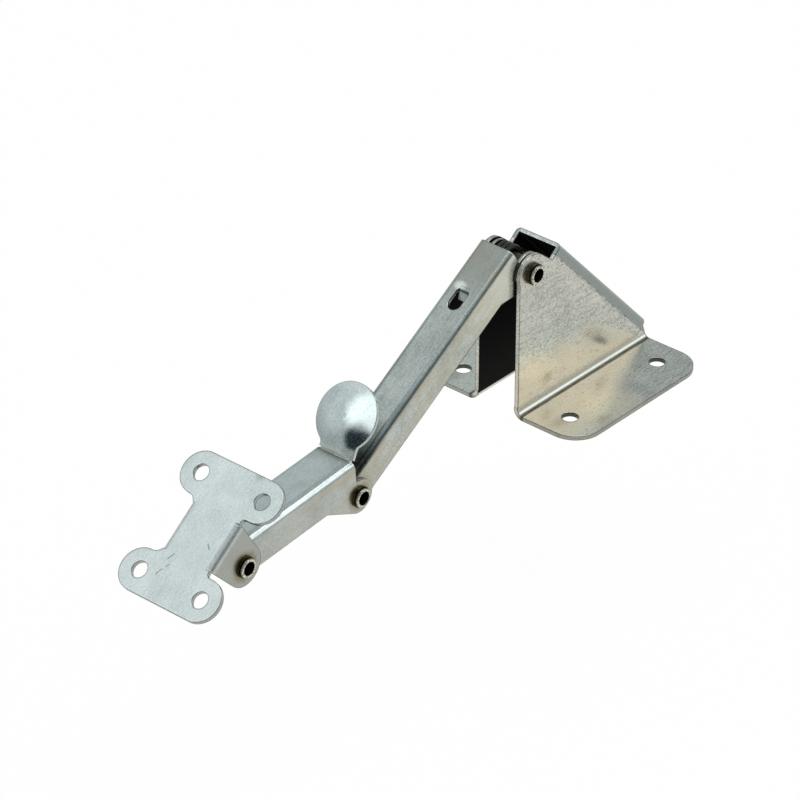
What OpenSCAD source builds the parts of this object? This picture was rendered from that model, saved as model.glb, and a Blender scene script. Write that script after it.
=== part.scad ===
// Spring loaded folding stay hinge: a base bracket, two channel arms, a thumb tab and an end plate.
// X points along the arm to its free end, Y along the pins, Z up from the mounting plane.

/* [Base bracket] */
// Length of the bracket feet along X
base_len = 65.6; // [56:0.1:100]
// Sheet thickness of the bracket
base_t = 1.5; // [1:0.1:2.5]
// Reach of each foot beyond the bracket wall
foot_reach = 25.7; // [18:0.1:40]
// Plan radius of the outer foot corners
foot_corner_r = 10; // [2:0.5:14]
// Inside radius of the bend between wall and foot
foot_bend_r = 2.2; // [0.4:0.1:3]
// Pitch of the foot screw holes along X and along Y
foot_pitch = 45; // [40:0.5:52]
// Diameter of the foot screw holes
foot_hole_d = 5.5; // [3:0.1:8]
// Height of the base pin above the mounting plane
pivot_z = 51.4; // [42:0.1:80]
// Setback of the base pin from the front edge of the bracket
pivot_setback = 6.6; // [5:0.1:12]
// Radius of the bracket ear around the base pin
base_ear_r = 6.6; // [5.5:0.1:9]
// Slope of the back web against the mounting plane
web_slope = 46.6; // [40:0.1:55]
// Distance from the base pin axis to the outer face of the back web
web_offset = 13.2; // [13:0.1:18]
// Outside radius of the bends between back web and walls
web_bend_r = 1.8; // [1.6:0.1:5]
// Drop of the web's top rim below the base pin, along the slope
rim_drop = 6.5; // [6:0.1:14]
// Setback of the walls' front edge behind the front edge of the feet
wall_setback = 0.3; // [0:0.1:3]
// Lean of the rim cut in each wall, along the slope
rim_lean = 0.3; // [0:0.1:2]
// Depth of the rim cut in each wall
rim_depth = 5.8; // [4:0.1:8]
// Open gap between the lower end of the web and the mounting plane
web_gap = 7.5; // [5:0.1:20]

/* [Upper arm] */
// Outside width of the upper arm channel
upper_w = 13.6; // [12:0.1:24]
// Sheet thickness of both arms
arm_t = 1.2; // [0.8:0.1:1.4]
// Outside radius of the arm bends
arm_bend_r = 2.2; // [1.5:0.1:3]
// Distance between base pin and elbow pin along the upper arm
upper_len = 93; // [70:0.1:140]
// Offset of the elbow pin above the base pin line
upper_rise = 5.9; // [4.8:0.1:7]
// Height of the upper arm's web above the base pin line
upper_top = 12.8; // [11.8:0.1:14]
// Height of the lower edge of the upper arm's walls above the base pin line
upper_low = 1.1; // [0.4:0.1:1.8]
// Setback of the web's end from the base pin
web_start = 1.1; // [0.5:0.1:4]
// Radius of the upper arm's ear around the base pin
upper_ear_r = 6.3; // [5.5:0.1:7]
// Length of the wall taper behind that ear
upper_taper = 14.4; // [10:0.1:24]
// Length of the spring slot in the web
slot_len = 8.6; // [6:0.1:14]
// Width of the spring slot
slot_w = 4.8; // [3:0.1:7]
// Distance of the spring slot's centre from the base pin
slot_pos = 22.7; // [20:0.1:40]
// Angle of the tongue bent in from the slot's upper end
tongue_angle = 33; // [25:1:60]

/* [Lower arm] */
// Side play between the two arms
elbow_play = 0.15; // [0.1:0.05:0.4]
// Distance between elbow pin and plate pin along the lower arm
lower_len = 54.1; // [44:0.1:90]
// Offset of the plate pin above the elbow pin line
lower_rise = 7.4; // [6:0.1:9]
// Height of the lower arm's web above the elbow pin line
lower_top = 13.4; // [12.8:0.1:16]
// Height of the lower edge of the lower arm's walls above the elbow pin line
lower_low = 1.8; // [1:0.1:2.6]
// Radius of the lower arm's ear around the elbow pin
lower_ear_r = 5.8; // [5.2:0.1:6.5]
// Length of the wall taper behind that ear
lower_taper = 15; // [11:0.5:22]
// Distance of the fold line of the thumb tab from the elbow pin
fold_pos = 1; // [0:0.1:4]
// Gap between the end of the web and the plate pin
web_end_gap = 5; // [4:0.1:9]
// Radius of the thumb tab's disc
tab_r = 11.2; // [8:0.1:14]
// Distance from the fold line to the disc's centre
tab_reach = 12.1; // [9:0.1:16]
// Angle between the thumb tab and the web's forward direction
tab_angle = 133; // [110:0.1:145]
// Fillet radius between the disc and its neck
neck_r = 2; // [0.5:0.1:3]
// Sideways shift of the disc along the fold
tab_shift = -1.5; // [-2:0.1:2]
// Bulge of the disc
tab_sag = 1.3; // [0.4:0.1:2]

/* [End plate] */
// Sheet thickness of the end plate
plate_t = 1.5; // [1:0.1:2]
// Hole pitch along the plate
plate_pitch_x = 35; // [32:0.5:60]
// Hole pitch across the plate
plate_pitch_y = 25; // [24.5:0.5:40]
// Diameter of the plate's screw holes
plate_hole_d = 5.5; // [3:0.1:7]
// Radius of the four lobes
lobe_r = 7.2; // [5:0.1:9]
// Height of the plate's face above the plate pin
plate_rise = 13.9; // [13:0.1:20]
// Outside radius of the plate's ear bends
plate_bend_r = 2.4; // [2:0.1:4]
// Radius of the plate's ears around the pin
plate_ear_r = 7; // [5.5:0.1:8]
// Half length of the fold between plate and ear
plate_fold = 8.3; // [8:0.1:9]
// Depth of the near relief notches inside the ear's outer face
notch_near = 0.3; // [0:0.1:1.5]
// Depth of the far relief notches inside the ear's outer face
notch_far = 1.2; // [0:0.1:1.5]
// Radius of the waist corners on the near side
waist_near_r = 1; // [1:0.1:4]
// Radius of the waist corners on the far side
waist_far_r = 3.5; // [1:0.1:4]

/* [Rivets and washers] */
// Outside diameter of the tubular rivets
pin_d = 5.8; // [5:0.1:6.6]
// Bore of the tubular rivets
pin_bore_d = 4.7; // [3:0.1:4.8]
// Outside diameter of the rolled rims
rim_d = 6.6; // [6.1:0.1:7]
// Radius of the rolled rim's section
rim_r = 0.6; // [0.4:0.05:0.8]
// Radial running clearance between pins and holes
pin_play = 0.05; // [0.02:0.01:0.1]
// Diameter of the outer washers
washer_d = 7.2; // [6.8:0.1:9.5]
// Thickness of the outer washers on the elbow and plate pins
washer_t = 0.7; // [0.6:0.1:1.5]
// Thickness of the outer washers on the base pin
base_washer_t = 1.2; // [0.6:0.1:2]
// Diameter of the spacers between upper arm and bracket
spacer_d = 11.6; // [9:0.1:12]
// Thickness of those spacers
spacer_t = 0.7; // [0.5:0.1:3]
// Diameter of the friction discs between lower arm and plate ears
friction_d = 11; // [9:0.1:11.4]
// Thickness of the friction discs
friction_t = 0.5; // [0.3:0.1:1]
// Outside diameter of the distance sleeves on the pins
sleeve_d = 8.4; // [7.6:0.1:9]

/* [Spring] */
// Wire diameter
wire_d = 1.6; // [1:0.1:2]
// Mean radius of the coil
coil_r = 5.6; // [5.2:0.1:6]
// Number of turns
coil_turns = 2.25; // [2.25:1:4.25]
// Length of the leg along the arm
leg_len = 16; // [12:0.5:17]
// Length of the leg along the back web
back_leg = 26; // [16:0.5:34]

/* [Pose] */
// Angle of the upper arm below the horizontal
upper_drop = 32.1; // [20:0.1:40]
// Angle of the lower arm below the horizontal
lower_drop = 5.3; // [0:0.1:20]
// Tilt of the end plate
plate_tilt = 37.5; // [20:0.1:60]

/* [Hidden] */
$fn = 64;
e = 0.01;
pivot_x = base_len / 2 - pivot_setback;
wall_x = base_len / 2 - wall_setback;
hole_d = pin_d + 2 * pin_play;
inner_half = upper_w / 2 + spacer_t;
base_half = inner_half + base_t;
foot_top = base_t + foot_bend_r;
lower_half = upper_w / 2 + elbow_play + arm_t;
lower_w = 2 * lower_half;
ear_half = lower_half + friction_t + plate_t;
arm_inner = upper_w / 2 - arm_t;
plate_half = plate_pitch_x / 2 + lobe_r;
web_low = (web_gap - pivot_z - web_offset * cos(web_slope)) / sin(web_slope);
upper_elbow_r = upper_rise - upper_low;
plate_pin_r = lower_rise - lower_low;
fold_half = lower_half - arm_bend_r;
neck_half = fold_half + 0.8;
neck_root = 0.5;
tab_sphere = (tab_r * tab_r + tab_sag * tab_sag) / (2 * tab_sag);
tab_centre = sqrt(pow(tab_sphere, 2) - pow(tab_reach, 2) - pow(fold_half, 2));
coil_pitch = wire_d + 0.2;
coil_y = wire_d / 2 + 0.3 - arm_inner;
elbow_x = pivot_x + upper_len * cos(upper_drop) + upper_rise * sin(upper_drop);
elbow_z = pivot_z - upper_len * sin(upper_drop) + upper_rise * cos(upper_drop);
end_x = elbow_x + lower_len * cos(lower_drop) + lower_rise * sin(lower_drop);
end_z = elbow_z - lower_len * sin(lower_drop) + lower_rise * cos(lower_drop);

// Point where the line from p touches a circle of radius r about the origin, on the given side
function touch(p, r, side) =
    let (a = atan2(p[1], p[0]) + side * acos(r / norm(p)))
    [r * cos(a), r * sin(a)];

// World XZ position of a point in the back web's own axes, taken from the base pin
function web_pt(u, n) =
    [pivot_x + u * cos(web_slope) - n * sin(web_slope), pivot_z + u * sin(web_slope) + n * cos(web_slope)];

module at_upper() {
    translate([pivot_x, 0, pivot_z])
        rotate([0, upper_drop, 0])
            children();
}

module at_lower() {
    translate([elbow_x, 0, elbow_z])
        rotate([0, lower_drop, 0])
            children();
}

module at_plate() {
    translate([end_x, 0, end_z])
        rotate([0, plate_tilt, 0])
            children();
}

// A side view outline drawn in X and Z, made solid along Y
module side(w) {
    rotate([90, 0, 0])
        linear_extrude(height = w, center = true)
            children();
}

// A cylinder along Y between two Y positions
module ycyl(d, y0, y1) {
    translate([0, y0, 0])
        rotate([-90, 0, 0])
            cylinder(d = d, h = y1 - y0);
}

// Cross section with its top edge at zero and two rounded top corners
module rounded_top(w, depth, r) {
    translate([-w / 2, -depth])
        square([w, depth - r]);
    translate([r - w / 2, -depth])
        square([w - 2 * r, depth]);
    for (s = [-1, 1])
        translate([s * (w / 2 - r), -r])
            circle(r = r);
}

// Folded channel open downwards, with its web's outer face at zero, running from x0 to x1
module channel(w, depth, t, r, x0, x1) {
    translate([x0, 0, 0])
        rotate([90, 0, 90])
            linear_extrude(height = x1 - x0)
                difference() {
                    rounded_top(w, depth, r);
                    translate([0, -t])
                        rounded_top(w - 2 * t, depth, r - t);
                }
}

// Foot with its bend, on the positive Y side
module foot() {
    c = base_half + foot_bend_r;
    y1 = base_half + foot_reach;
    intersection() {
        rotate([90, 0, 90])
            linear_extrude(height = base_len, center = true)
                union() {
                    translate([c - e, 0])
                        square([y1 - c + e, base_t]);
                    intersection() {
                        translate([c, foot_top])
                            difference() {
                                circle(r = foot_top);
                                circle(r = foot_bend_r);
                            }
                        translate([inner_half - 1, -1])
                            square([c - inner_half + 1, foot_top + 1]);
                    }
                }
        translate([0, 0, -1])
            linear_extrude(height = foot_top + 2)
                union() {
                    translate([-base_len / 2, 0])
                        square([base_len, y1 - foot_corner_r]);
                    translate([foot_corner_r - base_len / 2, 0])
                        square([base_len - 2 * foot_corner_r, y1]);
                    for (s = [-1, 1])
                        translate([s * (base_len / 2 - foot_corner_r), y1 - foot_corner_r])
                            circle(r = foot_corner_r);
                }
    }
}

module bracket_outline() {
    notch = web_pt(rim_lean - rim_drop, web_offset - rim_depth);
    tp = touch(notch - [pivot_x, pivot_z], base_ear_r, -1);
    polygon([
        [base_len / 2, foot_top - e],
        [wall_x, foot_top + wall_setback],
        [wall_x, pivot_z],
        [pivot_x, pivot_z],
        [pivot_x, pivot_z] + tp,
        notch,
        web_pt(-rim_drop, web_offset),
        web_pt(-rim_drop, web_offset + 3),
        web_pt(web_low, web_offset + 3),
        web_pt(web_low, web_offset - base_t - 0.5),
        [0.6 - base_len / 2, foot_top + 1.4],
        [-base_len / 2, foot_top - e]
    ]);
    translate([pivot_x, pivot_z])
        circle(r = base_ear_r);
}

module base_bracket() {
    color([0.72, 0.73, 0.71])
        difference() {
            union() {
                intersection() {
                    translate([pivot_x, 0, pivot_z])
                        rotate([0, -web_slope, 0])
                            translate([0, 0, web_offset])
                                channel(2 * base_half, 2 * pivot_z, base_t, web_bend_r,
                                    -3 * pivot_z, 3 * pivot_z);
                    side(4 * base_half)
                        bracket_outline();
                }
                foot();
                mirror([0, 1, 0])
                    foot();
            }
            translate([pivot_x, 0, pivot_z])
                ycyl(hole_d, -2 * base_half, 2 * base_half);
            for (x = [-1, 1], y = [-1, 1])
                translate([x * foot_pitch / 2, y * foot_pitch / 2, -1])
                    cylinder(d = foot_hole_d, h = base_t + 2);
        }
}

module upper_outline() {
    tp = touch([upper_taper, upper_low], upper_ear_r, -1);
    polygon([
        [web_start, upper_top + 1],
        [web_start, 0],
        [0, 0],
        tp,
        [upper_taper, upper_low],
        [upper_len, upper_low],
        [upper_len, upper_rise],
        [upper_len + upper_elbow_r, upper_rise],
        [upper_len + upper_elbow_r, upper_rise + 2],
        [upper_len + 2, upper_top],
        [upper_len + 2, upper_top + 1]
    ]);
    circle(r = upper_ear_r);
    translate([upper_len, upper_rise])
        circle(r = upper_elbow_r);
}

module upper_arm() {
    color([0.7, 0.73, 0.72])
        at_upper() {
            difference() {
                intersection() {
                    translate([0, 0, upper_top])
                        channel(upper_w, 40, arm_t, arm_bend_r, -20, upper_len + 20);
                    side(2 * upper_w)
                        upper_outline();
                }
                ycyl(hole_d, -upper_w, upper_w);
                translate([upper_len, 0, upper_rise])
                    ycyl(hole_d, -upper_w, upper_w);
                translate([slot_pos, 0, upper_top - arm_t - 1]) {
                    translate([(slot_w - slot_len) / 2, -slot_w / 2, 0])
                        cube([slot_len - slot_w, slot_w, arm_t + 2]);
                    for (s = [-1, 1])
                        translate([s * (slot_len - slot_w) / 2, 0, 0])
                            cylinder(d = slot_w, h = arm_t + 2);
                }
            }
            translate([slot_pos - slot_len / 2 + 0.3, 0, upper_top - arm_t / 2])
                rotate([0, tongue_angle, 0])
                    translate([-0.6, 0.6 - slot_w / 2, -arm_t / 2])
                        cube([4.6, slot_w - 1.2, arm_t]);
        }
}

module lower_outline() {
    tp = touch([lower_taper, lower_low], lower_ear_r, -1);
    we = lower_len - web_end_gap;
    polygon([
        [fold_pos, lower_top + 1],
        [fold_pos, 0],
        [0, 0],
        tp,
        [lower_taper, lower_low],
        [lower_len, lower_low],
        [lower_len, lower_rise],
        [lower_len, lower_rise + plate_pin_r],
        [we, lower_rise + plate_pin_r],
        [we, lower_top + 1]
    ]);
    circle(r = lower_ear_r);
    translate([lower_len, lower_rise])
        circle(r = plate_pin_r);
}

// Plan of the thumb tab's neck, with a fillet to the disc on each side
module neck_plan() {
    translate([-neck_root, -fold_half])
        square([neck_root + 2, 2 * fold_half]);
    translate([0.4, -neck_half])
        square([tab_reach - 0.8 * tab_r + 1.2, 2 * neck_half]);
    for (m = [-1, 1]) {
        yc = m * (neck_half + neck_r);
        xc = tab_reach - sqrt(pow(tab_r + neck_r, 2) - pow(yc - tab_shift, 2));
        difference() {
            polygon([[xc, m * (neck_half - 1)], [xc, yc], [tab_reach, tab_shift]]);
            translate([xc, yc])
                circle(r = neck_r + 0.03);
            translate([tab_reach, tab_shift])
                circle(r = tab_r - 1);
        }
    }
}

// Thumb tab along +X from the fold line, domed down to the fold, with its thickness towards +Z
module thumb_tab() {
    intersection() {
        translate([tab_reach, tab_shift, tab_centre])
            difference() {
                sphere(r = tab_sphere, $fn = 128);
                sphere(r = tab_sphere - arm_t, $fn = 128);
            }
        translate([0, 0, -2 * tab_sag])
            linear_extrude(height = 4 * tab_sag + 2 * arm_t) {
                neck_plan();
                translate([tab_reach, tab_shift])
                    circle(r = tab_r);
            }
    }
}

// Outer side of the fold between web and thumb tab
module tab_fold() {
    side(2 * fold_half)
        intersection() {
            circle(r = arm_t);
            polygon([
                [0, 0],
                3 * arm_t * [0.02, -1],
                3 * arm_t * [-sin(tab_angle), cos(tab_angle) - 1],
                3 * arm_t * [-sin(tab_angle - 1), cos(tab_angle - 1)]
            ]);
        }
}

module lower_arm() {
    color([0.71, 0.74, 0.73])
        at_lower() {
            difference() {
                intersection() {
                    translate([0, 0, lower_top])
                        channel(lower_w, 40, arm_t, arm_bend_r, -20, lower_len + 20);
                    side(2 * lower_w)
                        lower_outline();
                }
                ycyl(hole_d, -lower_w, lower_w);
                translate([lower_len, 0, lower_rise])
                    ycyl(hole_d, -lower_w, lower_w);
            }
            translate([fold_pos, 0, lower_top]) {
                rotate([0, -tab_angle, 0])
                    thumb_tab();
                tab_fold();
            }
        }
}

// Cut that forms one side of the waist, with two rounded corners of radius r
module waist(r) {
    half = plate_pitch_x / 2 - lobe_r;
    translate([r - half, 0])
        square([2 * (half - r), 40]);
    translate([-half, r])
        square([2 * half, 40]);
    for (c = [-1, 1])
        translate([c * (half - r), r])
            circle(r = r);
}

module plate_plan() {
    y0 = plate_pitch_y / 2;
    difference() {
        translate([-plate_half, -y0])
            square([2 * plate_half, 2 * y0]);
        for (m = [0, 1])
            mirror([0, m]) {
                translate([0, ear_half - (m == 0 ? notch_near : notch_far)])
                    waist(m == 0 ? waist_near_r : waist_far_r);
                translate([-plate_fold, ear_half - plate_bend_r])
                    square([2 * plate_fold, 40]);
            }
    }
    for (x = [-1, 1], y = [-1, 1])
        translate([x * plate_pitch_x / 2, y * y0])
            circle(r = lobe_r);
}

module ear_outline() {
    tp = touch([plate_fold, plate_rise - plate_bend_r], plate_ear_r, -1);
    polygon([
        [-plate_fold, plate_rise + 1],
        [-plate_fold, plate_rise - plate_bend_r],
        [-tp[0], tp[1]],
        [0, 0],
        tp,
        [plate_fold, plate_rise - plate_bend_r],
        [plate_fold, plate_rise + 1]
    ]);
    circle(r = plate_ear_r);
}

module end_plate() {
    color([0.77, 0.8, 0.79])
        at_plate()
            difference() {
                union() {
                    translate([0, 0, plate_rise - plate_t])
                        linear_extrude(height = plate_t)
                            plate_plan();
                    intersection() {
                        translate([0, 0, plate_rise])
                            channel(2 * ear_half, 40, plate_t, plate_bend_r, -20, 20);
                        side(4 * ear_half)
                            ear_outline();
                    }
                }
                ycyl(hole_d, -2 * ear_half, 2 * ear_half);
                for (x = [-1, 1], y = [-1, 1])
                    translate([x * plate_pitch_x / 2, y * plate_pitch_y / 2, plate_rise - plate_t - 1])
                        cylinder(d = plate_hole_d, h = plate_t + 2);
            }
}

// Tubular rivet with a rolled rim at each end, seated on the outer faces of its washers at +-seat
module rivet(seat) {
    rotate([90, 0, 0])
        rotate_extrude()
            difference() {
                union() {
                    translate([0, -seat - rim_r])
                        square([pin_d / 2, 2 * seat + 2 * rim_r]);
                    for (s = [-1, 1])
                        translate([rim_d / 2 - rim_r, s * (seat + rim_r)])
                            circle(r = rim_r);
                }
                translate([-1, -2 * seat])
                    square([1 + pin_bore_d / 2, 4 * seat]);
            }
}

// Flat ring on a pin between two Y positions
module ring(d, y0, y1) {
    difference() {
        ycyl(d, y0, y1);
        ycyl(hole_d, y0 - 1, y1 + 1);
    }
}

module base_rivet() {
    color([0.5, 0.47, 0.4])
        at_upper()
            rivet(base_half + base_washer_t);
}

module elbow_rivet() {
    color([0.5, 0.47, 0.4])
        at_lower()
            rivet(lower_half + washer_t);
}

module plate_rivet() {
    color([0.5, 0.47, 0.4])
        at_plate()
            rivet(ear_half + washer_t);
}

module base_washer_near() {
    color([0.42, 0.39, 0.28])
        at_upper()
            ring(washer_d, base_half, base_half + base_washer_t);
}

module base_washer_far() {
    color([0.42, 0.39, 0.28])
        at_upper()
            ring(washer_d, -base_half - base_washer_t, -base_half);
}

module elbow_washer_near() {
    color([0.42, 0.39, 0.28])
        at_lower()
            ring(washer_d, lower_half, lower_half + washer_t);
}

module elbow_washer_far() {
    color([0.42, 0.39, 0.28])
        at_lower()
            ring(washer_d, -lower_half - washer_t, -lower_half);
}

module plate_washer_near() {
    color([0.42, 0.39, 0.28])
        at_plate()
            ring(washer_d, ear_half, ear_half + washer_t);
}

module plate_washer_far() {
    color([0.42, 0.39, 0.28])
        at_plate()
            ring(washer_d, -ear_half - washer_t, -ear_half);
}

module base_spacer_near() {
    color([0.72, 0.73, 0.7])
        at_upper()
            ring(spacer_d, upper_w / 2, inner_half);
}

module base_spacer_far() {
    color([0.72, 0.73, 0.7])
        at_upper()
            ring(spacer_d, -inner_half, -upper_w / 2);
}

module plate_friction_near() {
    color([0.2, 0.2, 0.19])
        at_plate()
            ring(friction_d, lower_half, lower_half + friction_t);
}

module plate_friction_far() {
    color([0.2, 0.2, 0.19])
        at_plate()
            ring(friction_d, -lower_half - friction_t, -lower_half);
}

module spring_sleeve() {
    color([0.6, 0.6, 0.58])
        at_upper()
            ring(sleeve_d, -arm_inner, arm_inner);
}

module elbow_sleeve() {
    color([0.6, 0.6, 0.58])
        at_lower()
            ring(sleeve_d, -arm_inner, arm_inner);
}

module plate_sleeve() {
    color([0.6, 0.6, 0.58])
        at_plate()
            ring(sleeve_d, arm_t - lower_half, lower_half - arm_t);
}

// Centre line of the spring in the upper arm's axes: back leg, coil, then the leg along the arm
leg_a = asin((upper_top - arm_t - wire_d / 2 - 0.4 - coil_r) / leg_len);
back_a = upper_drop + web_slope - 90 - asin((web_offset - base_t - coil_r - wire_d / 2 - 0.4) / back_leg);
start_a = 90 + 360 * coil_turns;
function coil_pt(a) =
    [coil_r * cos(a), coil_y + coil_pitch * (coil_turns - (a - 90) / 360), coil_r * sin(a)];
coil_n = ceil(coil_turns * 32);
coil_line = [for (i = [0:1:coil_n]) coil_pt(90 + 360 * coil_turns * i / coil_n)];
arm_leg = [for (i = [3:-1:1]) coil_pt(90) + i / 3 * leg_len * [cos(leg_a), 0, sin(leg_a)]];
last_pt = coil_pt(start_a);
tail = [for (i = [1:1:4]) last_pt + i / 4 * back_leg * [-sin(start_a + back_a), 0, cos(start_a + back_a)]];
spring_path = concat(arm_leg, coil_line, tail);

function ring_pts(p, d, r, m) =
    let (f = d / norm(d), s0 = cross(f, [0, 1, 0.001]), s = s0 / norm(s0), q = cross(f, s))
    [for (k = [0:1:m - 1]) p + r * cos(360 * k / m) * s + r * sin(360 * k / m) * q];

module tube(path, r, m) {
    n = len(path);
    pts = [for (i = [0:1:n - 1])
        each ring_pts(path[i], path[min(i + 1, n - 1)] - path[max(i - 1, 0)], r, m)];
    sides = [for (i = [0:1:n - 2], k = [0:1:m - 1])
        [i * m + k, i * m + (k + 1) % m, (i + 1) * m + (k + 1) % m, (i + 1) * m + k]];
    caps = [[for (k = [m - 1:-1:0]) k], [for (k = [0:1:m - 1]) (n - 1) * m + k]];
    polyhedron(points = pts, faces = concat(sides, caps), convexity = 6);
}

module torsion_spring() {
    color([0.04, 0.04, 0.04])
        at_upper()
            tube(spring_path, wire_d / 2, 12);
}

base_bracket();
upper_arm();
lower_arm();
end_plate();
base_rivet();
elbow_rivet();
plate_rivet();
base_washer_near();
base_washer_far();
elbow_washer_near();
elbow_washer_far();
plate_washer_near();
plate_washer_far();
base_spacer_near();
base_spacer_far();
plate_friction_near();
plate_friction_far();
spring_sleeve();
elbow_sleeve();
plate_sleeve();
torsion_spring();
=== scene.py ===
import bpy
import math
from math import radians
from mathutils import Matrix, Vector


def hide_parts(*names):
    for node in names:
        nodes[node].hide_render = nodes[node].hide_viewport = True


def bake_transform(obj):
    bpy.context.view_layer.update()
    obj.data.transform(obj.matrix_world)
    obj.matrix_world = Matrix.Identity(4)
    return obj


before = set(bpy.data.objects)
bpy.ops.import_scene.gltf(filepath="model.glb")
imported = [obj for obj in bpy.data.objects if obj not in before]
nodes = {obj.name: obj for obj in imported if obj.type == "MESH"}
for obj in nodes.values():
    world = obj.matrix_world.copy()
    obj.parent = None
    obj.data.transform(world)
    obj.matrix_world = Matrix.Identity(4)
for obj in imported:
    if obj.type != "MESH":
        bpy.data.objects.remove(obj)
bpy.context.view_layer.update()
scene = bpy.context.scene

# Sizes and angles repeated from the construction, in millimetres and degrees
BASE_PIN = (26.2, 51.4)
ELBOW_PIN = (108.1176, 6.978)
PLATE_PIN = (162.6698, 9.3491)
UPPER_DROP, LOWER_DROP, PLATE_TILT, WEB_SLOPE = 32.1, 5.3, 37.5, 46.6
WALL_INNER, WALL_OUTER, WEB_OUTER, SHEET = 7.5, 9.0, 13.2, 1.5
FOLD_POS, LOWER_TOP, UPPER_TOP, FOOT_HOLE = 1.0, 13.4, 12.8, 22.5

# Height of the floor in metres, and the lens that was fitted to the photo
FLOOR_Z = -0.07
SENSOR_MM, FOCAL_PX, IMAGE_PX = 36.0, 4500.0, 800.0


class Nodes:
    """Shorthand for building a node tree."""

    def __init__(self, tree):
        self.tree = tree
        tree.nodes.clear()

    def add(self, kind, **props):
        n = self.tree.nodes.new(kind)
        for k, v in props.items():
            setattr(n, k, v)
        return n

    def put(self, socket, value):
        """Links another node's output to a socket, or sets a constant on it."""
        if hasattr(value, "is_output"):
            self.tree.links.new(value, socket)
        else:
            socket.default_value = value

    def math(self, op, a, b=0.0, c=0.0, clamp=False):
        n = self.add("ShaderNodeMath", operation=op, use_clamp=clamp)
        for i, v in enumerate((a, b, c)):
            self.put(n.inputs[i], v)
        return n.outputs[0]

    def mix(self, fac, a, b):
        n = self.add("ShaderNodeMix", data_type="RGBA")
        self.put(n.inputs[0], fac)
        self.put(n.inputs[6], a)
        self.put(n.inputs[7], b)
        return n.outputs[2]

    def ramp(self, v, lo, hi, a=0.0, b=1.0):
        """A smooth step from a at lo to b at hi."""
        n = self.add("ShaderNodeMapRange", interpolation_type="SMOOTHSTEP")
        for i, x in enumerate((v, lo, hi, a, b)):
            self.put(n.inputs[i], x)
        return n.outputs[0]


class Graph(Nodes):
    """A material's nodes, with its output and its main shader."""

    def __init__(self, name):
        self.mat = bpy.data.materials.new(name)
        self.mat.use_nodes = True
        super().__init__(self.mat.node_tree)
        self.out = self.add("ShaderNodeOutputMaterial")
        self.bsdf = self.add("ShaderNodeBsdfPrincipled")
        self.put(self.out.inputs[0], self.bsdf.outputs[0])

    def tint(self, colour, mask, amount, other):
        """The colour turned towards another one where the mask is, by that amount."""
        return self.mix(self.math("MULTIPLY", mask, amount), colour, other)

    def local(self, pin=(0.0, 0.0), drop=0.0):
        """Object coordinates in millimetres, turned into a pin's own axes."""
        tc = self.add("ShaderNodeTexCoord")
        m = self.add("ShaderNodeMapping")
        a = radians(-drop)
        x = pin[0] * math.cos(a) + pin[1] * math.sin(a)
        z = -pin[0] * math.sin(a) + pin[1] * math.cos(a)
        m.inputs["Scale"].default_value = (1000, 1000, 1000)
        m.inputs["Rotation"].default_value = (0, a, 0)
        m.inputs["Location"].default_value = (-x, 0, -z)
        self.put(m.inputs[0], tc.outputs["Object"])
        return m.outputs[0]

    def xyz(self, v):
        n = self.add("ShaderNodeSeparateXYZ")
        self.put(n.inputs[0], v)
        return n.outputs

    def stretch(self, v, sx, sy, sz, shift=(0, 0, 0)):
        m = self.add("ShaderNodeMapping")
        m.inputs["Scale"].default_value = (sx, sy, sz)
        m.inputs["Location"].default_value = shift
        self.put(m.inputs[0], v)
        return m.outputs[0]

    def noise(self, v, scale, detail=3.0, rough=0.55, distortion=0.0):
        n = self.add("ShaderNodeTexNoise")
        self.put(n.inputs["Vector"], v)
        n.inputs["Scale"].default_value = scale
        n.inputs["Detail"].default_value = detail
        n.inputs["Roughness"].default_value = rough
        n.inputs["Distortion"].default_value = distortion
        return n.outputs[0]

    def facing(self, ax, az):
        """How squarely the surface faces along an axis of the XZ plane, 0 to 1."""
        tc = self.add("ShaderNodeTexCoord")
        nx, ny, nz = self.xyz(tc.outputs["Normal"])
        along = self.math("ADD", self.math("MULTIPLY", nx, ax), self.math("MULTIPLY", nz, az))
        return self.math("ABSOLUTE", along)

    def radius(self, x, z, px, pz):
        """Distance from a point in the plane of two coordinates."""
        dx = self.math("SUBTRACT", x, px)
        dz = self.math("SUBTRACT", z, pz)
        square = self.math("ADD", self.math("MULTIPLY", dx, dx), self.math("MULTIPLY", dz, dz))
        return self.math("SQRT", square)

    def band(self, v, a, b, soft):
        """One inside a..b, falling to zero over soft on both sides."""
        up = self.ramp(v, a - soft, a)
        down = self.ramp(v, b, b + soft, 1.0, 0.0)
        return self.math("MULTIPLY", up, down)

    def all(self, *masks):
        """The product of several masks."""
        m = masks[0]
        for k in masks[1:]:
            m = self.math("MULTIPLY", m, k)
        return m


def linear(c):
    """One screen value, 0 to 1, as a linear value."""
    return c / 12.92 if c <= 0.04045 else ((c + 0.055) / 1.055) ** 2.4


def rgb(r, g, b):
    """A colour as seen on screen, 0 to 255, as linear values."""
    return (linear(r / 255), linear(g / 255), linear(b / 255), 1.0)


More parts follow.
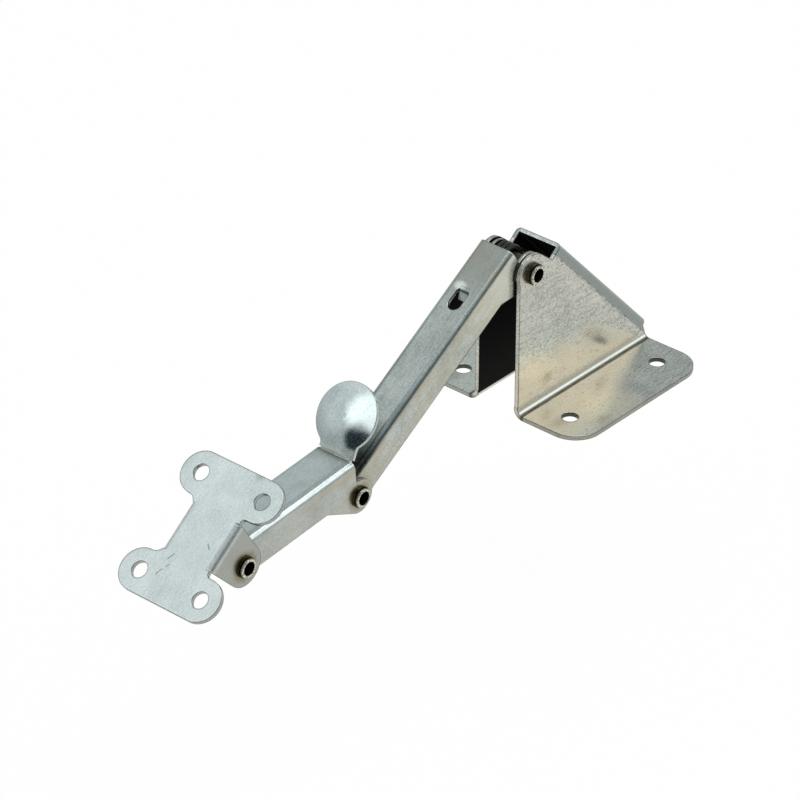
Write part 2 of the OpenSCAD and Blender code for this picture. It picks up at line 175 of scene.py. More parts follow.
def zinc(name, light, dark, rough, pin=(0.0, 0.0), drop=0.0, stains=(), inside=None, extra=None,
         seed=0.0, grain=1.0, edge_dark=0.9, specks=0.5, bumps=0.14, bevel=0.0007):
    """Bright zinc plate on rolled sheet: streaks, clouds, specks, scratches, stains, painted shade along
    the edges, and painted black shade over the inside where a mask is given.
    """
    g = Graph(name)
    v = g.local(pin, drop)
    x, y, z = g.xyz(v)
    moved = g.stretch(v, 1, 1, 1, (seed, seed * 0.7, seed * 1.3))
    cloud = g.noise(moved, 0.1, 3.0, 0.6, 0.4)
    fine = g.noise(moved, 1.5, 4.0, 0.65)
    spot = g.noise(moved, 0.75, 2.0, 0.5)
    streak = g.noise(g.stretch(moved, 0.12, 1.0, 1.0), 1.5, 4.0, 0.65)
    hair = g.noise(g.stretch(moved, 0.02, 1.0, 1.0), 5.0, 2.0, 0.5)
    haze = g.ramp(g.noise(g.stretch(moved, 0.4, 1.0, 1.0, (9, 4, 2)), 0.16, 3.0, 0.6), 0.36, 0.64)
    tone = g.math("MULTIPLY_ADD", cloud, 1.1, -0.05)
    tone = g.math("ADD", tone, g.math("MULTIPLY_ADD", streak, 1.0 * grain, -0.5 * grain))
    tone = g.math("ADD", tone, g.math("MULTIPLY_ADD", fine, 2.0 * grain, -1.0 * grain), clamp=True)
    colour = g.mix(tone, dark, light)
    # Brown specks and pits, gathered in patches
    patch = g.ramp(cloud, 0.4, 0.62)
    speck = g.all(g.ramp(fine, 0.64, 0.72), g.ramp(spot, 0.5, 0.62), patch)
    colour = g.tint(colour, speck, specks, rgb(104, 92, 68))
    # Fine scratches in two directions
    for turn, tone_in in ((24.0, rgb(232, 236, 232)), (-38.0, rgb(120, 124, 120))):
        m = g.add("ShaderNodeMapping")
        m.inputs["Rotation"].default_value = (0, 0, radians(turn))
        g.put(m.inputs[0], moved)
        lines = g.noise(g.stretch(m.outputs[0], 0.05, 1.0, 0.4), 0.9, 1.0, 0.4)
        cut = g.ramp(g.math("ABSOLUTE", g.math("SUBTRACT", lines, 0.5)), 0.002, 0.008, 1.0, 0.0)
        cut = g.all(cut, g.ramp(cloud, 0.5, 0.64), g.ramp(spot, 0.42, 0.6))
        colour = g.tint(colour, cut, 0.4, tone_in)
    roughness = g.math("MULTIPLY_ADD", streak, 0.16, rough - 0.08)
    roughness = g.math("ADD", roughness, g.math("MULTIPLY_ADD", fine, 0.12, -0.06))
    metal = 1.0
    if extra:
        textures = {"cloud": cloud, "fine": fine, "streak": streak, "spot": spot, "haze": haze, "v": moved}
        colour, roughness = extra(g, x, y, z, colour, roughness, textures)
    # Oily halo round each pin
    for px, pz, r0, r1, amount in stains:
        d = g.radius(x, z, px, pz)
        d = g.math("ADD", d, g.math("MULTIPLY_ADD", spot, 2.4, -1.2))
        halo = g.math("MULTIPLY", g.ramp(d, r0, r1, 1.0, 0.0), g.ramp(fine, 0.25, 0.7, 0.55, 1.0))
        colour = g.tint(colour, halo, amount, rgb(128, 112, 66))
        roughness = g.math("ADD", roughness, g.math("MULTIPLY", halo, 0.1))
    # Painted black shade over the hollow inside, where an inside mask is given
    if inside:
        m = inside(g, x, y, z)
        colour = g.mix(m, colour, (0.003, 0.003, 0.0032, 1.0))
        roughness = g.math("ADD", roughness, g.math("MULTIPLY", m, 0.3))
        metal = g.math("SUBTRACT", 1.0, m)
        g.put(g.bsdf.inputs["Specular IOR Level"], g.ramp(m, 0.0, 1.0, 0.5, 0.05))
    edge = g.add("ShaderNodeBevel", samples=8)
    edge.inputs["Radius"].default_value = bevel
    # Painted shade: dark lines along the sheared edges, where the rounded normal leaves the face
    flat = g.add("ShaderNodeNewGeometry")
    bent = g.add("ShaderNodeVectorMath", operation="DOT_PRODUCT")
    g.put(bent.inputs[0], edge.outputs[0])
    g.put(bent.inputs[1], flat.outputs["Normal"])
    edge_shade = g.ramp(bent.outputs["Value"], 0.8, 0.96, 1.0, 0.0)
    colour = g.tint(colour, edge_shade, edge_dark, rgb(60, 64, 62))
    g.put(g.bsdf.inputs["Base Color"], colour)
    g.put(g.bsdf.inputs["Roughness"], roughness)
    g.put(g.bsdf.inputs["Metallic"], metal)
    bump = g.add("ShaderNodeBump")
    bump.inputs["Strength"].default_value = bumps
    bump.inputs["Distance"].default_value = 0.0001
    height = g.math("ADD", g.math("MULTIPLY", fine, 0.6), g.math("MULTIPLY", hair, 0.5))
    g.put(bump.inputs["Height"], height)
    g.put(bump.inputs["Normal"], edge.outputs[0])
    g.put(g.bsdf.inputs["Normal"], bump.outputs[0])
    return g.mat


def web_axes(g, x, z):
    """Distances from the base pin, square to the bracket's sloping web and along it."""
    dx = g.math("SUBTRACT", x, BASE_PIN[0])
    dz = g.math("SUBTRACT", z, BASE_PIN[1])
    cos, sin = math.cos(radians(WEB_SLOPE)), math.sin(radians(WEB_SLOPE))
    square = g.math("SUBTRACT", g.math("MULTIPLY", dz, cos), g.math("MULTIPLY", dx, sin))
    along = g.math("ADD", g.math("MULTIPLY", dx, cos), g.math("MULTIPLY", dz, sin))
    return square, along


def bracket_inside_shade(g, x, y, z):
    """Where black shade is painted: the hollow of the bracket, between its walls and behind its web."""
    n = web_axes(g, x, z)[0]
    between = g.math("LESS_THAN", g.math("ABSOLUTE", y), WALL_INNER + 0.1)
    behind = g.math("LESS_THAN", n, WEB_OUTER - SHEET + 0.1)
    return g.math("MULTIPLY", between, behind)


def upper_inside_shade(g, x, y, z):
    """Where black shade is painted: under the web, between the walls, apart from the tongue in the slot."""
    between = g.math("LESS_THAN", g.math("ABSOLUTE", y), 5.65)
    below = g.math("LESS_THAN", z, UPPER_TOP - 1.1)
    tongue = g.all(g.band(x, 17.6, 22.4, 0.05), g.math("LESS_THAN", g.math("ABSOLUTE", y), 1.9),
                   g.math("GREATER_THAN", z, UPPER_TOP - 5.0))
    return g.all(between, below, g.math("SUBTRACT", 1.0, tongue))


def plate_extra(g, x, y, z, colour, rough, t):
    """The end plate's own marks."""
    # A few dark scratches and a soft scuff on the outer face
    top = g.ramp(z, 13.4, 13.7)
    for px, py, ux, uy, length in ((9.6, -5.2, 0.91, -0.41, 2.4), (15.4, -5.9, 0.91, -0.41, 2.0),
                                   (12.6, -4.4, 0.91, -0.41, 1.0), (2.0, 4.8, 0.7, 0.71, 1.6)):
        dx, dy = g.math("SUBTRACT", x, px), g.math("SUBTRACT", y, py)
        along = g.math("ADD", g.math("MULTIPLY", dx, ux), g.math("MULTIPLY", dy, uy))
        across = g.math("ADD", g.math("MULTIPLY", dx, -uy), g.math("MULTIPLY", dy, ux))
        across = g.math("ADD", across, g.math("MULTIPLY_ADD", t["spot"], 0.5, -0.25))
        cut = g.all(top, g.band(across, -0.12, 0.12, 0.15), g.band(along, -length / 2, length / 2, 0.5))
        colour = g.tint(colour, cut, 0.7, rgb(104, 110, 108))
    scuff = g.all(top, g.ramp(g.radius(g.math("MULTIPLY", x, 1.6), y, -38.4, 7.0), 0.3, 2.6, 1.0, 0.0))
    colour = g.tint(colour, scuff, 0.45, rgb(132, 138, 138))
    # Painted shade on the sheared sides of the plate
    facing = g.facing(math.sin(radians(PLATE_TILT)), math.cos(radians(PLATE_TILT)))
    side_shade = g.all(g.ramp(facing, 0.3, 0.6, 1.0, 0.0), g.ramp(z, 12.0, 12.3))
    colour = g.tint(colour, side_shade, 0.5, rgb(116, 120, 118))
    # Painted shade on the ears, in a warm grey
    ear_shade = g.ramp(z, 10.5, 12.6, 1.0, 0.0)
    colour = g.tint(colour, ear_shade, 0.7, rgb(146, 148, 140))
    return colour, rough


def bracket_extra(g, x, y, z, colour, rough, t):
    """The bracket's own marks."""
    ay = g.math("ABSOLUTE", y)
    # Warm film on the feet beside the fold, and on the lower wall a painted reflection of that warm foot,
    # with a clear limit at the back
    rough_edge = g.math("MULTIPLY_ADD", t["cloud"], 12.0, -6.0)
    soft = g.ramp(x, -16.0, 8.0, 0.12, 1.0)
    limit = g.math("MINIMUM", 21.0, g.math("MULTIPLY_ADD", x, 0.73, 24.5))
    above = g.math("MULTIPLY_ADD", rough_edge, soft, g.math("SUBTRACT", z, limit))
    wall_face = g.ramp(ay, WALL_OUTER + 1.0, WALL_OUTER + 3.0, 1.0, 0.0)
    full, none = g.math("MULTIPLY", soft, -8.0), g.math("MULTIPLY", soft, 2.0)
    on_wall = g.all(g.ramp(above, full, none, 1.0, 0.0), wall_face)
    inward = g.math("SUBTRACT", g.math("MULTIPLY_ADD", x, 0.5, 27.2), ay)
    inward = g.math("MULTIPLY_ADD", rough_edge, 0.3, inward)
    low = g.ramp(z, 2.0, 3.0, 1.0, 0.0)
    foot = g.all(low, g.ramp(ay, 27.0, 40.0, 1.0, 0.0), g.ramp(inward, -2.5, 4.0))
    film_and_reflection = g.math("MULTIPLY", g.math("MAXIMUM", on_wall, foot), g.ramp(y, -9.0, 9.0, 0.3, 1.0))
    film_and_reflection = g.math("MULTIPLY", film_and_reflection, g.ramp(t["haze"], 0.0, 1.0, 0.75, 1.0))
    colour = g.tint(colour, film_and_reflection, 0.78, rgb(210, 200, 184))
    # Paler where the near foot is rubbed, and over the far foot
    rubbed = g.all(low, g.ramp(g.radius(x, y, 7.0, 27.5), 4.0, 14.0, 1.0, 0.0))
    colour = g.tint(colour, rubbed, 0.5, rgb(238, 226, 200))
    far = g.all(low, g.ramp(y, -12.0, -9.0, 1.0, 0.0))
    colour = g.tint(colour, far, 0.4, rgb(226, 232, 228))
    # Sparse dark pits, drawn out along the rolling direction
    pits = g.noise(g.stretch(t["v"], 0.3, 1.0, 1.0, (5, 1, 8)), 1.7, 2.0, 0.55)
    pits = g.all(g.ramp(pits, 0.62, 0.7), g.ramp(t["cloud"], 0.35, 0.6, 0.35, 1.0))
    colour = g.tint(colour, pits, 0.65, rgb(112, 110, 100))
    # Thumbed brown smudges in the film
    for px, py, pz, size, amount in ((18.0, WALL_OUTER, 9.0, 3.0, 0.4), (27.0, 22.0, SHEET, 4.0, 0.35),
                                     (16.0, 31.0, SHEET, 3.0, 0.25)):
        dx = g.math("MULTIPLY", g.math("SUBTRACT", x, px), 0.6)
        d = g.radius(g.radius(dx, g.math("SUBTRACT", ay, py), 0.0, 0.0), z, 0.0, pz)
        d = g.math("ADD", d, g.math("MULTIPLY_ADD", t["spot"], 2.0, -1.0))
        smudge = g.ramp(d, 0.2, size, 1.0, 0.0)
        colour = g.tint(colour, smudge, amount, rgb(122, 108, 78))
    # Painted reflection of a foot hole: a slanting grey mark on the walls
    dx, dz = g.math("ADD", x, 9.1), g.math("SUBTRACT", z, 10.6)
    lengthways = g.math("ADD", g.math("MULTIPLY", dx, 0.2), g.math("MULTIPLY", dz, 0.134))
    sideways = g.math("ADD", g.math("MULTIPLY", dx, -0.557), g.math("MULTIPLY", dz, 0.83))
    hole_reflection = g.all(g.ramp(g.radius(lengthways, sideways, 0.0, 0.0), 0.2, 1.9, 1.0, 0.0), wall_face)
    colour = g.tint(colour, hole_reflection, 0.75, rgb(116, 114, 102))
    # Painted shade on the sheared sides of the feet, darker on those of their holes
    upright = g.ramp(g.facing(0.0, 1.0), 0.3, 0.6, 1.0, 0.0)
    side_shade = g.all(upright, g.ramp(z, SHEET + 0.1, SHEET + 0.3, 1.0, 0.0))
    colour = g.tint(colour, side_shade, 0.6, rgb(112, 114, 108))
    hole_side_shade = g.ramp(g.radius(g.math("ABSOLUTE", x), ay, FOOT_HOLE, FOOT_HOLE), 3.0, 3.4, 1.0, 0.0)
    colour = g.mix(g.all(side_shade, hole_side_shade, 0.8), colour, rgb(34, 34, 30))
    # Painted shade along the fold of the feet
    fold_shade = g.all(g.band(ay, 10.15, 11.1, 0.45), g.ramp(z, 2.6, 3.6, 1.0, 0.0),
                   g.ramp(t["streak"], 0.25, 0.6, 0.55, 1.0))
    colour = g.tint(colour, fold_shade, 0.92, rgb(62, 62, 54))
    # Painted reflection: the inside of that fold is a paler grey
    hollow = g.all(g.band(ay, WALL_OUTER, WALL_OUTER + 1.2, 0.3), g.band(z, SHEET, SHEET + 2.2, 0.4))
    colour = g.tint(colour, hollow, 0.5, rgb(192, 192, 184))
    # Painted shade along the bend to the sloping web, and press marks on the wall below it
    n, along = web_axes(g, x, z)
    wall = g.ramp(ay, 7.0, 8.4)
    web_bend_shade = g.all(g.ramp(n, WEB_OUTER - 4.2, WEB_OUTER - 3.4), wall)
    colour = g.tint(colour, web_bend_shade, 0.9, rgb(134, 142, 142))
    comb = g.add("ShaderNodeCombineXYZ")
    g.put(comb.inputs[0], g.math("MULTIPLY", along, 0.25))
    g.put(comb.inputs[1], g.math("MULTIPLY", n, 1.6))
    marks = g.ramp(g.noise(comb.outputs[0], 1.3, 3.0, 0.6), 0.5, 0.6)
    line = g.all(g.band(n, WEB_OUTER - 4.3, WEB_OUTER - 3.7, 0.4), wall, marks)
    colour = g.tint(colour, line, 0.7, rgb(78, 82, 80))
    # The sloping web is even and a little dull
    slope = g.ramp(n, WEB_OUTER - 0.6, WEB_OUTER - 0.2)
    colour = g.tint(colour, slope, 0.55, rgb(190, 192, 188))
    # Grey smears on the upper wall
    smear = g.all(wall, g.ramp(z, 16.0, 30.0), g.ramp(t["fine"], 0.54, 0.68), g.ramp(t["cloud"], 0.42, 0.6))
    colour = g.tint(colour, smear, 0.4, rgb(104, 104, 98))
    return colour, rough


def lower_extra(g, x, y, z, colour, rough, t):
    """The lower arm's and the thumb tab's own marks."""
    # Painted shade and grime in the crease beside the fold of the thumb tab
    on_web = g.ramp(z, LOWER_TOP - 0.9, LOWER_TOP - 0.3)
    edge = g.math("ADD", x, g.math("MULTIPLY_ADD", t["spot"], 1.2, -0.6))
    crease_shade_and_grime = g.all(g.band(edge, FOLD_POS + 0.9, FOLD_POS + 1.6, 0.8), on_web,
                   g.ramp(t["fine"], 0.3, 0.6, 0.5, 1.0))
    colour = g.tint(colour, crease_shade_and_grime, 0.35, rgb(98, 94, 70))
    crease_line_shade_and_grime = g.all(g.band(x, FOLD_POS + 0.1, FOLD_POS + 0.9, 0.3), on_web,
                   g.ramp(t["spot"], 0.3, 0.6, 0.5, 1.0))
    colour = g.tint(colour, crease_line_shade_and_grime, 0.6, rgb(84, 80, 60))
    # Painted highlight: a light line at the fold itself
    fold_highlight = g.all(g.band(x, FOLD_POS - 0.5, FOLD_POS + 0.3, 0.35), on_web)
    colour = g.tint(colour, fold_highlight, 0.25, rgb(226, 226, 214))
    # The tab is polished by thumbs and so smoother, with painted shade on its far side and a painted
    # highlight at its tip
    tab = g.ramp(z, LOWER_TOP + 0.8, LOWER_TOP + 2.0)
    rough = g.math("SUBTRACT", rough, g.math("MULTIPLY", tab, 0.14))
    far_side_shade = g.all(tab, g.ramp(y, -11.0, -5.0, 1.0, 0.0),
                 g.ramp(z, LOWER_TOP + 13.0, LOWER_TOP + 17.0, 1.0, 0.0))
    colour = g.tint(colour, far_side_shade, 0.22, rgb(120, 128, 126))
    tip_highlight = g.ramp(z, LOWER_TOP + 14.5, LOWER_TOP + 19.0)
    colour = g.tint(colour, tip_highlight, 0.12, rgb(244, 244, 240))
    # Painted shade on the walls, with warm patches near the elbow
    wall = g.all(g.ramp(g.math("ABSOLUTE", y), 7.2, 8.0),
                 g.ramp(z, LOWER_TOP - 1.6, LOWER_TOP - 0.6, 1.0, 0.0))
    colour = g.tint(colour, wall, 0.3, rgb(158, 160, 154))
    warm = g.all(wall, t["haze"], g.ramp(x, 30.0, 4.0, 0.25, 1.0))
    colour = g.tint(colour, warm, 0.4, rgb(176, 162, 132))
    # Painted shade: a dark line on the web beside the bend
    line = g.all(g.band(y, 5.2, 6.0, 0.7), g.ramp(z, LOWER_TOP - 0.5, LOWER_TOP - 0.2), g.ramp(x, 2.0, 4.0))
    colour = g.tint(colour, line, 0.3, rgb(110, 120, 122))
    return colour, rough


def upper_extra(g, x, y, z, colour, rough, t):
    """The upper arm's own marks."""
    on_web = g.ramp(z, UPPER_TOP - 2.4, UPPER_TOP - 1.4)
    # Painted shade along the bends, in a streaky blue grey band
    bend_shade = g.all(g.band(g.math("ABSOLUTE", y), 5.0, 6.5, 0.5), on_web,
                 g.ramp(t["streak"], 0.3, 0.6, 0.5, 1.0))
    bend_shade = g.math("MULTIPLY", bend_shade, g.ramp(x, 30.0, 70.0, 0.25, 0.75))
    colour = g.mix(bend_shade, colour, rgb(104, 116, 120))
    # Dulled and warm near the base pin, stained in patches along the walls
    wall = g.ramp(g.math("ABSOLUTE", y), 6.2, 6.7)
    web = g.math("SUBTRACT", 1.0, wall)
    head = g.all(web, g.ramp(x, 6.0, 30.0, 1.0, 0.0), g.ramp(t["cloud"], 0.3, 0.6, 0.6, 1.0))
    colour = g.tint(colour, head, 0.75, rgb(157, 154, 143))
    dull = g.all(web, g.ramp(x, 50.0, 75.0, 1.0, 0.0))
    colour = g.tint(colour, dull, 0.12, rgb(120, 124, 122))
    bright = g.all(wall, g.ramp(x, 10.0, 40.0, 1.0, 0.0))
    colour = g.tint(colour, bright, 0.5, rgb(222, 220, 208))
    warm = g.all(wall, t["haze"], g.ramp(x, 4.0, 20.0))
    colour = g.tint(colour, warm, 0.42, rgb(174, 160, 132))
    # Painted highlight on the swelling beside the lanced end of the slot
    swell_highlight = g.all(g.ramp(g.radius(x, g.math("MULTIPLY", y, 0.8), 18.4, -1.8), 0.6, 2.5, 1.0, 0.0), on_web)
    colour = g.tint(colour, swell_highlight, 0.8, rgb(244, 246, 240))
    # Painted shade at the root of the tongue
    root_shade = g.all(g.ramp(x, 19.6, 20.4, 1.0, 0.0), g.band(x, 17.9, 20.4, 0.1),
                 g.ramp(z, UPPER_TOP - 0.4, UPPER_TOP - 0.2, 1.0, 0.0),
                 g.math("LESS_THAN", g.math("ABSOLUTE", y), 2.5))
    colour = g.tint(colour, root_shade, 0.9, rgb(24, 26, 26))
    # Painted shadow and dark reflection of the thumb tab on the web under it
    tab_shadow = g.all(g.ramp(x, 70.0, 85.0), on_web, g.ramp(t["spot"], 0.25, 0.6, 0.8, 1.0))
    tab_shadow = g.math("MULTIPLY", tab_shadow, g.ramp(y, -5.0, 4.5, 0.3, 1.0))
    colour = g.tint(colour, tab_shadow, 0.93, rgb(30, 26, 20))
    return colour, rough


MATS = {
    "base_bracket": zinc("zinc_bracket", rgb(214, 213, 206), rgb(160, 162, 158), 0.26,
                         stains=((BASE_PIN[0], BASE_PIN[1], 3.4, 5.6, 0.3),), inside=bracket_inside_shade,
                         extra=bracket_extra, seed=3.0, grain=1.8, bumps=0.09),
    "upper_arm": zinc("zinc_upper_arm", rgb(206, 211, 208), rgb(156, 163, 160), 0.25, BASE_PIN, UPPER_DROP,
                      stains=((93.0, 5.9, 5.0, 9.0, 0.35), (0.0, 0.0, 5.0, 9.0, 0.25)), inside=upper_inside_shade,
                      extra=upper_extra, seed=11.0),
    "lower_arm": zinc("zinc_lower_arm", rgb(206, 212, 211), rgb(158, 166, 166), 0.25, ELBOW_PIN, LOWER_DROP,
                      stains=((0.0, 0.0, 3.5, 6.5, 0.6), (54.1, 7.4, 4.0, 9.0, 0.4)), extra=lower_extra,
                      seed=23.0, grain=0.8, bumps=0.04, bevel=0.0004),
    "end_plate": zinc("zinc_end_plate", rgb(219, 223, 222), rgb(181, 187, 187), 0.3, PLATE_PIN, PLATE_TILT,
                      stains=((0.0, 0.0, 3.4, 6.4, 0.9),), extra=plate_extra, seed=37.0, specks=0.15),
    # The spacers are zinc painted darker, as shade between the walls and the arm
    "spacer": zinc("zinc_spacer", rgb(130, 134, 130), rgb(90, 94, 90), 0.35, seed=41.0),
}


def pin_steel(name, pin, end):
    """Rolled rim of a tubular rivet: bright crown, painted shade on its outer edge and on the tube below
    it, brown mouth of the bore, painted black shade down inside the bore.
    """
    g = Graph(name)
    v = g.local(pin, 0.0)
    x, y, z = g.xyz(v)
    ay = g.math("ABSOLUTE", y)
    r = g.radius(x, z, 0.0, 0.0)
    fine = g.noise(v, 2.2, 4.0, 0.6)
    colour = g.mix(g.ramp(fine, 0.35, 0.65), rgb(120, 116, 104), rgb(236, 234, 224))
    # Painted shade on the outer edge of the rolled rim
    colour = g.mix(g.ramp(r, 3.05, 3.25, 0.0, 0.75), colour, rgb(70, 66, 54))
    # Painted shade, dark brown, on the tube below the rim
    foot = g.ramp(ay, end - 1.0, end - 0.7, 1.0, 0.0)
    colour = g.tint(colour, foot, 0.8, rgb(58, 52, 36))
    # The mouth of the bore is brown, with painted black shade further in
    bore = g.ramp(r, 2.36, 2.42, 1.0, 0.0)
    bore_shade = g.ramp(ay, end - 3.2, end - 0.6, 1.0, 0.0)
    mouth = g.mix(bore_shade, rgb(146, 138, 112), rgb(10, 9, 7))
    colour = g.mix(bore, colour, mouth)
    g.put(g.bsdf.inputs["Base Color"], colour)
    g.put(g.bsdf.inputs["Roughness"], g.math("MULTIPLY_ADD", fine, 0.3, 0.1))
    g.bsdf.inputs["Metallic"].default_value = 1.0
    bump = g.add("ShaderNodeBump")
    bump.inputs["Strength"].default_value = 0.2
    bump.inputs["Distance"].default_value = 0.0001
    g.put(bump.inputs["Height"], fine)
    g.put(g.bsdf.inputs["Normal"], bump.outputs[0])
    return g.mat


def washer_steel(name, pin):
    """Oily brown washer, with painted black shade in the groove against the rivet's rim."""
    g = Graph(name)
    v = g.local(pin, 0.0)
    x, y, z = g.xyz(v)
    r = g.radius(x, z, 0.0, 0.0)
    fine = g.noise(v, 1.8, 4.0, 0.65)
    cloud = g.noise(v, 0.35, 2.0, 0.5)
    colour = g.mix(g.ramp(cloud, 0.35, 0.65), rgb(26, 23, 14), rgb(70, 62, 40))
    colour = g.mix(g.ramp(fine, 0.58, 0.75), colour, rgb(158, 148, 112))
    # Painted black shade in the groove against the rivet's rim
    colour = g.mix(g.ramp(r, 3.3, 3.5, 0.95, 0.0), colour, rgb(12, 11, 8))
    g.put(g.bsdf.inputs["Base Color"], colour)
    g.put(g.bsdf.inputs["Roughness"], g.math("MULTIPLY_ADD", fine, 0.3, 0.2))
    g.bsdf.inputs["Metallic"].default_value = 0.9
    edge = g.add("ShaderNodeBevel", samples=4)
    edge.inputs["Radius"].default_value = 0.0002
    g.put(g.bsdf.inputs["Normal"], edge.outputs[0])
    return g.mat


def dark_wire():
    """Black oiled spring wire."""
    g = Graph("spring_wire")
    v = g.local(BASE_PIN, UPPER_DROP)
    fine = g.noise(v, 3.0, 3.0, 0.6)
    g.put(g.bsdf.inputs["Base Color"], g.mix(fine, (0.002, 0.002, 0.002, 1), (0.02, 0.019, 0.017, 1)))
    g.put(g.bsdf.inputs["Roughness"], g.math("MULTIPLY_ADD", fine, 0.35, 0.2))
    g.bsdf.inputs["Specular IOR Level"].default_value = 0.22
    return g.mat


def sleeve_steel():
    """Plain steel tube, drawn lengthways, painted dark as the shade it sits in within the joints."""
    g = Graph("sleeve_steel")
    v = g.local()
    fine = g.noise(g.stretch(v, 1.0, 0.1, 1.0), 2.0, 4.0, 0.6)
    g.put(g.bsdf.inputs["Base Color"], g.mix(fine, rgb(36, 35, 32), rgb(84, 82, 76)))
    g.put(g.bsdf.inputs["Roughness"], g.math("MULTIPLY_ADD", fine, 0.3, 0.25))
    g.bsdf.inputs["Metallic"].default_value = 1.0
    return g.mat


def friction_disc():
    """Matt dark plastic."""
    g = Graph("friction_disc")
    v = g.local()
    fine = g.noise(v, 4.0, 3.0, 0.6)
    g.put(g.bsdf.inputs["Base Color"], g.mix(fine, rgb(32, 32, 30), rgb(64, 62, 58)))
    g.put(g.bsdf.inputs["Roughness"], g.math("MULTIPLY_ADD", fine, 0.2, 0.55))
    return g.mat


SLEEVE, FRICTION = sleeve_steel(), friction_disc()
for n, pin, end in (("base", BASE_PIN, 11.4), ("elbow", ELBOW_PIN, 10.05), ("plate", PLATE_PIN, 12.05)):
    MATS[n + "_washer_near"] = MATS[n + "_washer_far"] = washer_steel("washer_" + n, pin)
    MATS[n + "_rivet"] = pin_steel("rivet_" + n, pin, end)
for n in ("spring_sleeve", "elbow_sleeve", "plate_sleeve"):
    MATS[n] = SLEEVE
for n in ("plate_friction_near", "plate_friction_far"):
    MATS[n] = FRICTION
for n in ("base_spacer_near", "base_spacer_far"):
    MATS[n] = MATS["spacer"]
MATS["torsion_spring"] = dark_wire()

for name, o in nodes.items():
    o.data.materials.clear()
    o.data.materials.append(MATS[name])

# A copy of the spring's mesh, which sits between the bracket and the upper arm, takes the place of the
# hidden spring
wire = bpy.data.objects.new("wound_spring", nodes["torsion_spring"].data.copy())
scene.collection.objects.link(wire)
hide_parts("torsion_spring")
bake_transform(wire)

# Floor, white where the camera sees it and lit by the room elsewhere. It lies
# below the feet, so that the arm can fold down past them and still be seen.
bpy.ops.mesh.primitive_plane_add(size=30.0, location=(0, 0, FLOOR_Z))
floor = bpy.context.object
floor.name = "floor"
g = Graph("floor")
g.bsdf.inputs["Base Color"].default_value = (0.88, 0.83, 0.76, 1)
g.bsdf.inputs["Roughness"].default_value = 0.9
g.bsdf.inputs["Specular IOR Level"].default_value = 0.1
glow = g.add("ShaderNodeEmission")
glow.inputs["Strength"].default_value = 1.0
path = g.add("ShaderNodeLightPath")
mixer = g.add("ShaderNodeMixShader")
seen = g.math("MULTIPLY", path.outputs["Is Camera Ray"], 0.97)
seen = g.math("ADD", seen, g.math("MULTIPLY", path.outputs["Is Glossy Ray"], 0.4), clamp=True)
g.put(mixer.inputs[0], seen)
g.put(mixer.inputs[1], g.bsdf.outputs[0])
g.put(mixer.inputs[2], glow.outputs[0])
g.put(g.out.inputs[0], mixer.outputs[0])
floor.data.materials.append(g.mat)

# World: a soft studio room with pale and dark panels
world = bpy.data.worlds.new("studio")
scene.world = world
world.use_nodes = True
w = Nodes(world.node_tree)
coord = w.add("ShaderNodeTexCoord")
unit = w.add("ShaderNodeVectorMath", operation="NORMALIZE")
w.put(unit.inputs[0], coord.outputs["Generated"])


def panel(direction, inner, outer, gain):
    """A soft patch of the room's wall: gain inside inner degrees, nothing beyond outer degrees."""
    dot = w.add("ShaderNodeVectorMath", operation="DOT_PRODUCT")
    w.put(dot.inputs[0], unit.outputs[0])
    w.put(dot.inputs[1], Vector(direction).normalized())
    return w.ramp(dot.outputs["Value"], math.cos(radians(outer)), math.cos(radians(inner)), 0.0, gain)


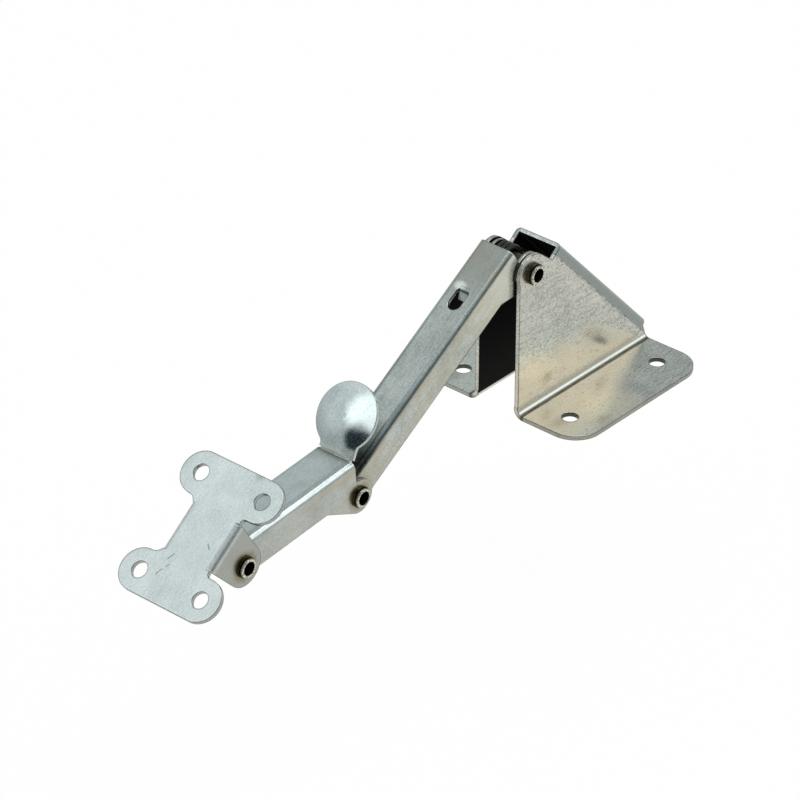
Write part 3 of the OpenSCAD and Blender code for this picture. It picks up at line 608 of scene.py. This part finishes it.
ROOM = 0.66
PANELS = [
    ((0.42, -0.3, 0.86), 10, 36, 0.12),
    ((0.5, -0.68, 0.53), 12, 26, 0.32),
    ((0.7, -0.33, 0.63), 8, 18, 1.2),
    ((0.87, -0.285, 0.4), 5, 13, -1.4),
    ((-0.03, 0.92, 0.38), 10, 26, -0.5),
    ((-0.54, 0.55, 0.62), 9, 23, 1.4),
    ((-0.58, -0.1, 0.81), 5, 17, -0.5),
    ((-0.5, -0.56, 0.66), 5, 14, 0.14),
    ((-0.7, -0.6, 0.38), 6, 20, -0.16),
]
level = ROOM
for row in PANELS:
    level = w.math("ADD", level, panel(*row))
level = w.math("MAXIMUM", level, 0.02)
back = w.add("ShaderNodeBackground")
back.inputs["Color"].default_value = (0.94, 1.0, 0.995, 1)
w.put(back.inputs["Strength"], level)
# White behind the floor where the camera sees past it
white = w.add("ShaderNodeBackground")
white.inputs["Color"].default_value = (1, 1, 1, 1)
rays = w.add("ShaderNodeLightPath")
pick = w.add("ShaderNodeMixShader")
w.put(pick.inputs[0], rays.outputs["Is Camera Ray"])
w.put(pick.inputs[1], back.outputs[0])
w.put(pick.inputs[2], white.outputs[0])
# A little cool light from the dark panels too
cool = w.add("ShaderNodeBackground")
cool.inputs["Color"].default_value = (0.0, 0.7, 1.0, 1)
cool.inputs["Strength"].default_value = 0.02
both = w.add("ShaderNodeAddShader")
w.put(both.inputs[0], pick.outputs[0])
w.put(both.inputs[1], cool.outputs[0])
sky = w.add("ShaderNodeOutputWorld")
w.put(sky.inputs[0], both.outputs[0])


def softbox(name, place, target, size, power):
    light = bpy.data.lights.new(name, "AREA")
    light.shape = "RECTANGLE"
    light.size, light.size_y = size
    light.energy = power
    o = bpy.data.objects.new(name, light)
    scene.collection.objects.link(o)
    o.location = place
    o.rotation_euler = (Vector(target) - Vector(place)).to_track_quat("-Z", "Y").to_euler()
    return o


softbox("key", (-0.22, 0.16, 1.6), (0.08, 0, 0.02), (1.0, 1.0), 9.0)

# Camera fitted to the foot holes and the plate holes of the photo
cam = bpy.data.cameras.new("camera")
cam.sensor_width = SENSOR_MM
cam.lens = FOCAL_PX * SENSOR_MM / IMAGE_PX
cam.clip_start, cam.clip_end = 0.05, 50.0
cam_o = bpy.data.objects.new("camera", cam)
scene.collection.objects.link(cam_o)
right = (-0.6569798897, 0.7539037733, 0.0025544264)
up = (-0.3981289357, -0.3498176991, 0.8480099811)
out = (0.6402115081, 0.5561085128, 0.5299741002)
place = (0.98127259, 0.78296389, 0.77178672)
cam_o.matrix_world = Matrix([(right[i], up[i], out[i], place[i]) for i in range(3)] + [(0, 0, 0, 1)])
scene.camera = cam_o
scene.view_settings.view_transform = "Standard"
